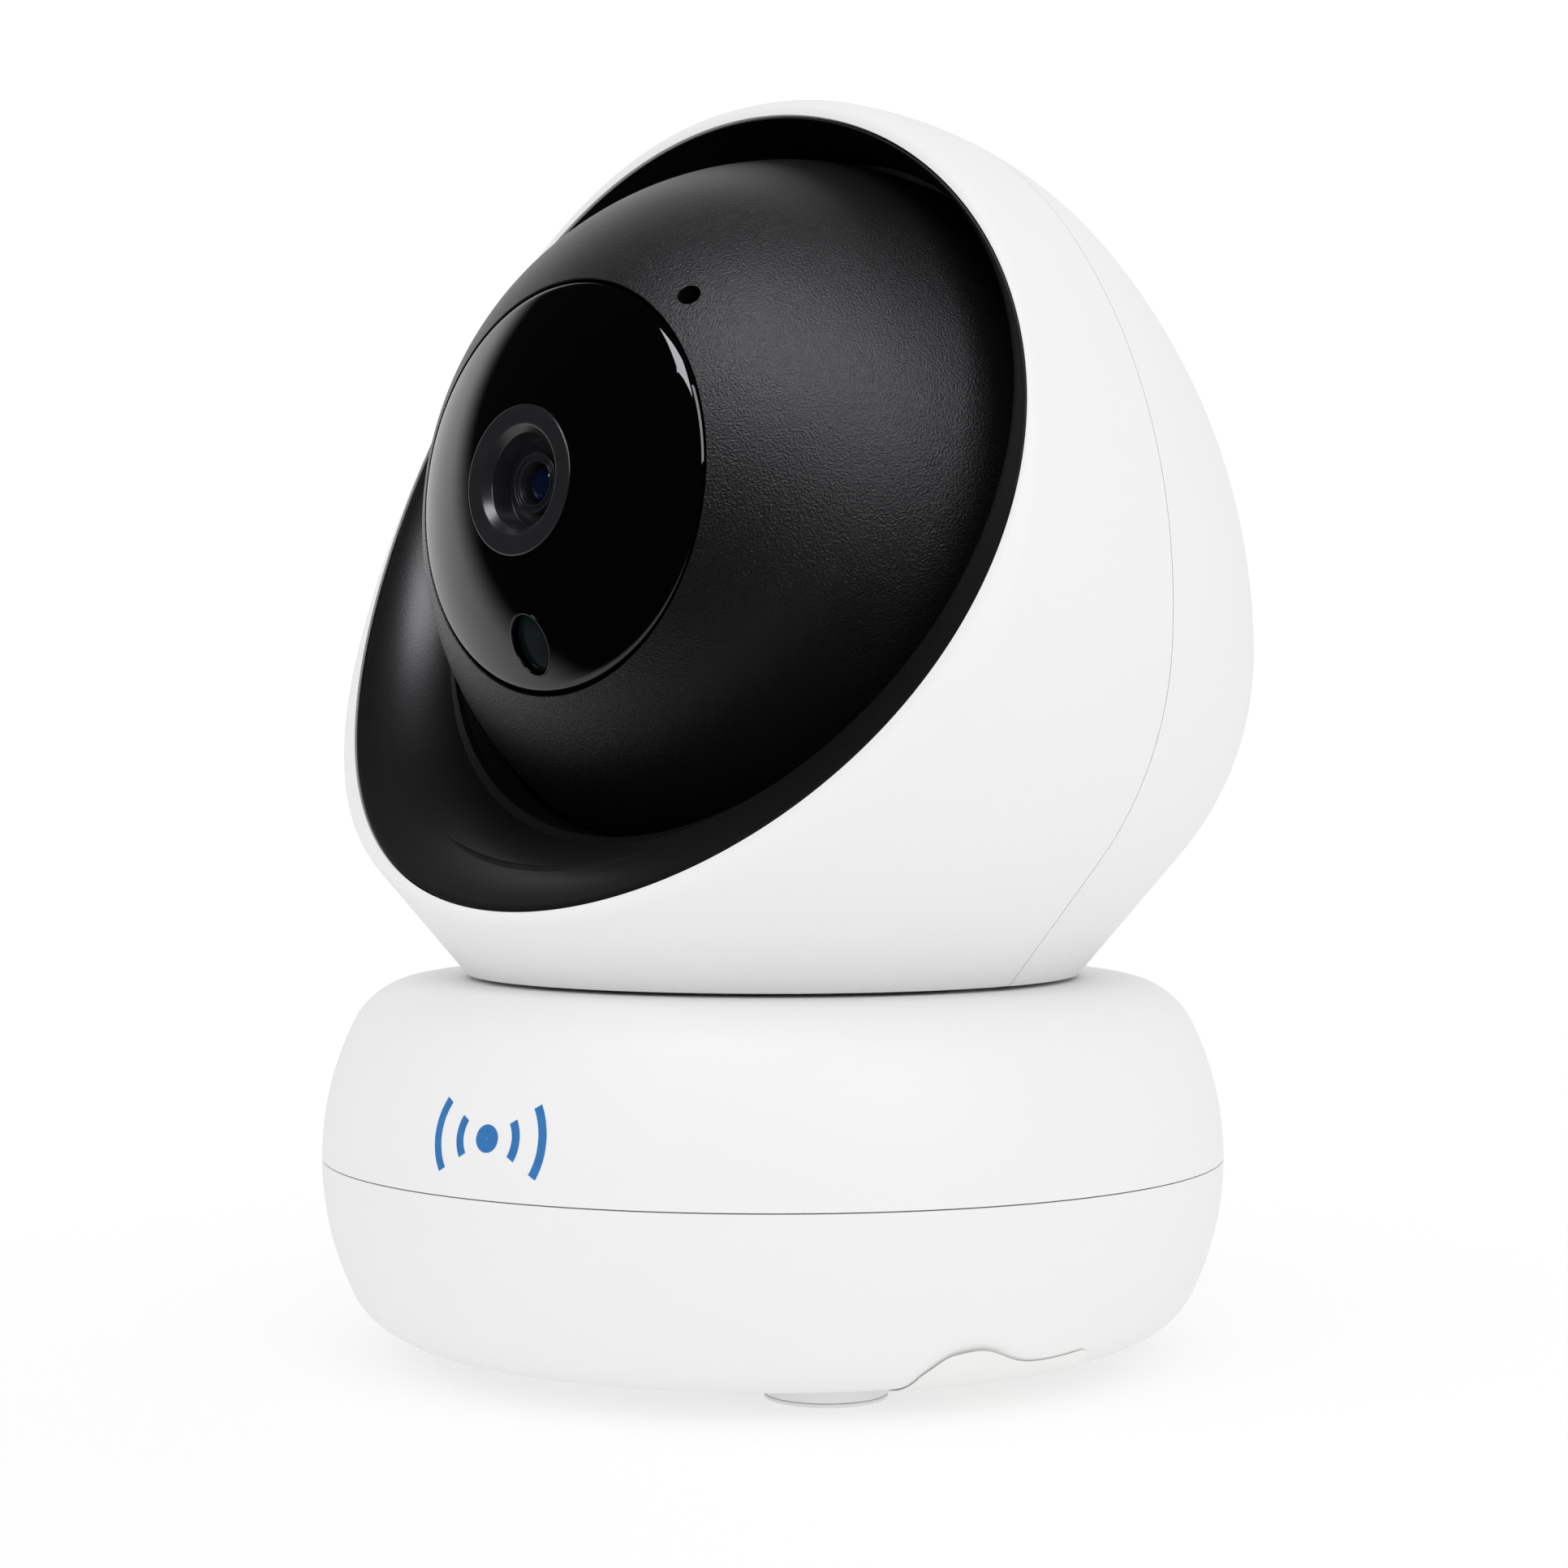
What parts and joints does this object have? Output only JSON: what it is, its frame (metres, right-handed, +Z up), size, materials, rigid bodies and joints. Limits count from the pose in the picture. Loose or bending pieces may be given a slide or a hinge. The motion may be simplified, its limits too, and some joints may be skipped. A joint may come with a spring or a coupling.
{
  "type": "baby monitor camera",
  "caption": "Table-top pan and tilt baby monitor camera: a round base, an egg-shaped head with a black dish, and a lens eyeball that tilts in it.",
  "frame": {"origin": "on the table, on the pan axis, under the middle of the base", "axes": "+Z up, along the pan axis; the head faces -Y at rest, and +X is on the right as seen by someone standing in front of the lens and looking back at it"},
  "size_m": [0.0958, 0.0929, 0.1243],
  "materials": {
    "white_shell": "fine satin texture",
    "white_pad": "matte",
    "black_dish": "satin",
    "black_eye": "fine spark texture",
    "black_cover": "polished",
    "black_ring": "satin",
    "lens_glass": "coated",
    "window_glass": "polished",
    "inner_plastic": "moulded",
    "gear_plastic": "moulded acetal",
    "gear_brass": "machined",
    "steel": "plated",
    "motor_can": "drawn steel",
    "ballast_steel": "blackened",
    "circuit_board": "solder resist",
    "chip": "moulded",
    "socket_metal": "plated",
    "label_paper": "coated paper",
    "mark_ink": "printed ink",
    "copper": "plated",
    "lamp_lens": "moulded",
    "seal_rubber": "matte"
  },
  "bodies": {
    "base": {"base_upper_shell": "white_shell", "base_lower_shell": "white_shell", "foot_pad_1": "white_pad", "foot_pad_2": "white_pad", "foot_pad_3": "white_pad", "foot_pad_4": "white_pad", "base_screws": "steel", "ballast_plate": "ballast_steel", "base_board": "circuit_board", "board_screws": "steel", "power_socket": "socket_metal", "socket_tongue": "chip", "card_socket": "socket_metal", "reset_switch": "chip", "rating_label": "label_paper", "pan_motor": "motor_can", "pan_motor_screws": "steel", "pan_bearing": "gear_plastic"},
    "head": {"head_front_shell": "white_shell", "head_rear_shell": "white_shell", "dish_bezel": "black_dish", "turntable": "inner_plastic", "pan_gear": "gear_plastic", "thrust_washer": "steel", "hub_screws": "steel", "head_screws": "steel", "yoke": "inner_plastic", "tilt_pin": "steel", "tilt_shaft": "steel", "tilt_gear": "gear_plastic", "main_board": "circuit_board", "processor": "chip", "radio_module": "socket_metal", "board_spacers": "gear_plastic", "antenna": "copper", "speaker": "chip"},
    "eye": {"eye_front_shell": "black_eye", "eye_rear_shell": "black_eye", "eye_screws": "steel", "lens_cover": "black_cover", "light_sensor_window": "window_glass", "lens_ring": "black_ring", "lens_barrel": "black_ring", "front_lens": "lens_glass", "lens_holder": "inner_plastic", "sensor_board": "circuit_board", "image_sensor": "chip", "camera_bracket": "inner_plastic", "led_board": "circuit_board", "infrared_lamps": "lamp_lens", "light_sensor": "chip", "microphone": "socket_metal", "microphone_boot": "seal_rubber", "eye_bush_right": "gear_plastic", "eye_bush_left": "gear_plastic", "tilt_motor": "motor_can", "tilt_motor_bracket": "inner_plastic"},
    "pan_drive": {"pan_pinion": "gear_brass"},
    "tilt_drive": {"tilt_pinion": "gear_brass"},
    "reset": {"reset_button": "white_shell"}
  },
  "joints": [
    {"name": "pan", "type": "hinge", "parent": "base", "child": "head", "pos_m": [0, 0, 0.03], "axis": [0, 0, 1], "range_deg": [-165, 185]},
    {"name": "tilt", "type": "hinge", "parent": "head", "child": "eye", "pos_m": [0, 0.0021, 0.0821], "axis": [-1, 0, 0], "range_deg": [-22, 55]},
    {"name": "pan_pinion_spin", "type": "hinge", "parent": "base", "child": "pan_drive", "pos_m": [-0.02442, -0.00431, 0.024], "axis": [0, 0, 1], "range_deg": [-775, 700]},
    {"name": "tilt_pinion_spin", "type": "hinge", "parent": "eye", "child": "tilt_drive", "pos_m": [-0.028, 0.01506, 0.0811], "axis": [-1, 0, 0], "range_deg": [-75, 190]},
    {"name": "reset_press", "type": "slide", "parent": "base", "child": "reset", "axis": [0.1736, -0.9848, 0], "range_m": [0, 0.0005], "stiffness_N_per_m": 400, "springref_m": -0.0002}
  ],
  "couplings": [
    {"joint": "pan_pinion_spin", "follows": "pan", "ratio": -4.1667},
    {"joint": "tilt_pinion_spin", "follows": "tilt", "ratio": 3.3333}
  ]
}
